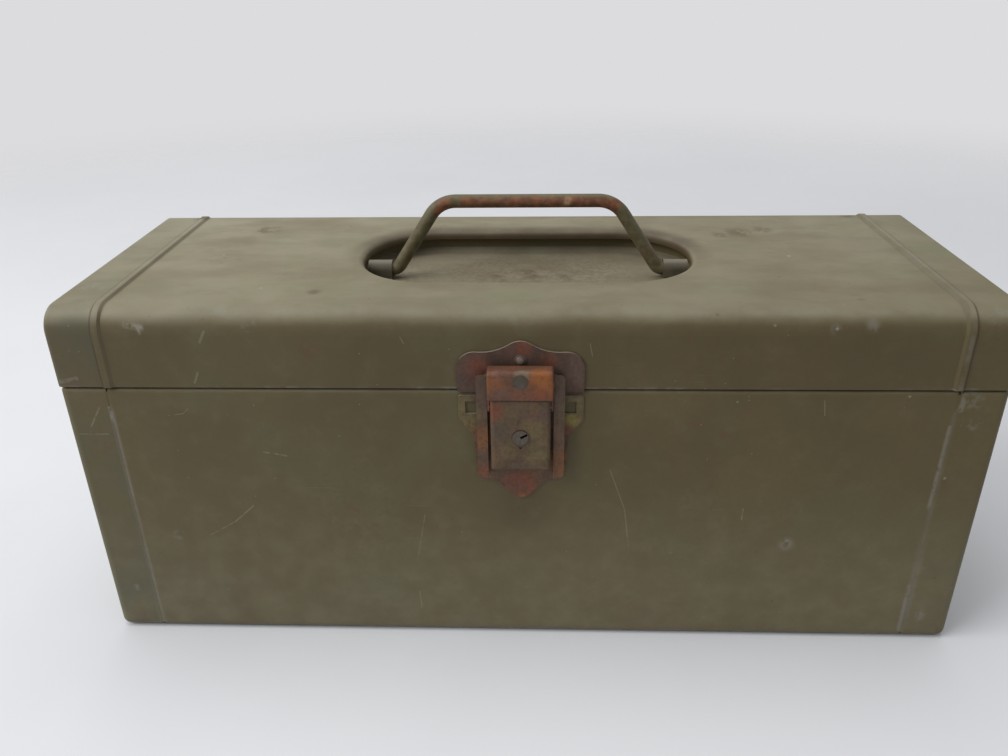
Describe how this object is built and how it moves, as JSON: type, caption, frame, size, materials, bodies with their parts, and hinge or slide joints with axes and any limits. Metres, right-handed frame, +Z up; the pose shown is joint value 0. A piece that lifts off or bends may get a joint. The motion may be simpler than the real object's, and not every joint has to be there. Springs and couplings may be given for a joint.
{
  "type": "folding-tray tackle box",
  "caption": "Olive pressed-steel tackle box with a piano-hinged lid, recessed bail handle, over-centre draw latch with a round cam lock, and a cantilevered tray",
  "frame": {"origin": "centre of the flat bottom, level with the lowest face", "axes": "+X to the right seen from the latch side, +Y to the hinge side, +Z up"},
  "size_m": [0.483, 0.1849, 0.2377],
  "materials": {
    "body_paint": "dull olive-brown paint, rubbed pale along the seams, scratched and rust-mottled",
    "lid_paint": "dull olive paint with settled dust, pale scuffs and small rust spots",
    "tray_paint": "olive paint, cleaner than outside, worn along the rims",
    "hinge_steel": "plated steel gone dull, rust between the knuckles",
    "handle_steel": "painted steel worn through to brown rust at the grip",
    "latch_brass_plate": "brass-plated steel, tarnished, with orange rust",
    "latch_case": "brass-plated steel, mostly rusted through to orange brown",
    "lock_brass": "dull brass with a dark key slot",
    "bare_steel": "zinc-plated steel, dull"
  },
  "bodies": {
    "body": {"body_wrapper": "body_paint", "body_end_left": "body_paint", "body_end_right": "body_paint", "hinge_leaf_body": "hinge_steel", "hinge_pin": "hinge_steel", "latch_base": "latch_brass_plate", "latch_base_rivets": "latch_brass_plate", "latch_pivot_pin": "bare_steel", "lock_keeper": "bare_steel", "body_pivot_studs": "bare_steel"},
    "lid": {"lid_wrapper": "lid_paint", "lid_end_left": "lid_paint", "lid_end_right": "lid_paint", "hinge_leaf_lid": "hinge_steel", "handle_pan": "lid_paint", "handle_saddle_left": "handle_steel", "handle_saddle_right": "handle_steel", "saddle_rivets": "handle_steel", "strike_plate": "latch_brass_plate", "strike_rivets": "latch_brass_plate", "crown_rivet": "latch_brass_plate", "lid_pivot_studs": "bare_steel"},
    "handle": {"handle": "handle_steel"},
    "lever": {"latch_lever": "latch_case", "lock_housing": "bare_steel", "claw_pin": "bare_steel"},
    "claw": {"latch_claw": "latch_case", "claw_hook": "bare_steel", "claw_rivet": "latch_case"},
    "plug": {"lock_plug": "lock_brass", "lock_cam": "bare_steel"},
    "tray": {"tray_pan": "tray_paint", "tray_divider_long": "tray_paint", "tray_dividers_front": "tray_paint", "tray_dividers_back": "tray_paint", "tray_hanger_left": "bare_steel", "tray_hanger_right": "bare_steel", "tray_hanger_rivets": "bare_steel", "tray_pivot_studs": "bare_steel"},
    "arm_left": {"tray_arm_left": "bare_steel"},
    "arm_right": {"tray_arm_right": "bare_steel"}
  },
  "joints": [
    {"name": "lid_hinge", "type": "hinge", "parent": "body", "child": "lid", "pos_m": [0, 0.0867, 0.1605], "axis": [-1, 0, 0], "range_deg": [0, 100]},
    {"name": "tray_swing", "type": "hinge", "parent": "lid", "child": "tray", "pos_m": [0, 0.0267, 0.1755], "axis": [-1, 0, 0], "range_deg": [-100, 0]},
    {"name": "arm_left_swing", "type": "hinge", "parent": "body", "child": "arm_left", "pos_m": [-0.234, 0.0167, 0.1355], "axis": [-1, 0, 0], "range_deg": [0, 100]},
    {"name": "arm_right_swing", "type": "hinge", "parent": "body", "child": "arm_right", "pos_m": [0.234, 0.0167, 0.1355], "axis": [-1, 0, 0], "range_deg": [0, 100]},
    {"name": "handle_swing", "type": "hinge", "parent": "lid", "child": "handle", "pos_m": [0, 0.0035, 0.1945], "axis": [-1, 0, 0], "range_deg": [-90, 90]},
    {"name": "lever_swing", "type": "hinge", "parent": "body", "child": "lever", "pos_m": [-0.0022, -0.0873, 0.165], "axis": [-1, 0, 0], "range_deg": [0, 85]},
    {"name": "claw_swing", "type": "hinge", "parent": "lever", "child": "claw", "pos_m": [-0.0022, -0.09, 0.154], "axis": [-1, 0, 0], "range_deg": [-80.75, 0]},
    {"name": "plug_turn", "type": "hinge", "parent": "lever", "child": "plug", "pos_m": [-0.0022, -0.09, 0.1382], "axis": [0, -1, 0], "range_deg": [-120, 0]}
  ],
  "couplings": [
    {"joint": "tray_swing", "follows": "lid_hinge", "ratio": -1},
    {"joint": "arm_left_swing", "follows": "lid_hinge", "ratio": 1},
    {"joint": "arm_right_swing", "follows": "lid_hinge", "ratio": 1},
    {"joint": "claw_swing", "follows": "lever_swing", "ratio": -0.95}
  ]
}
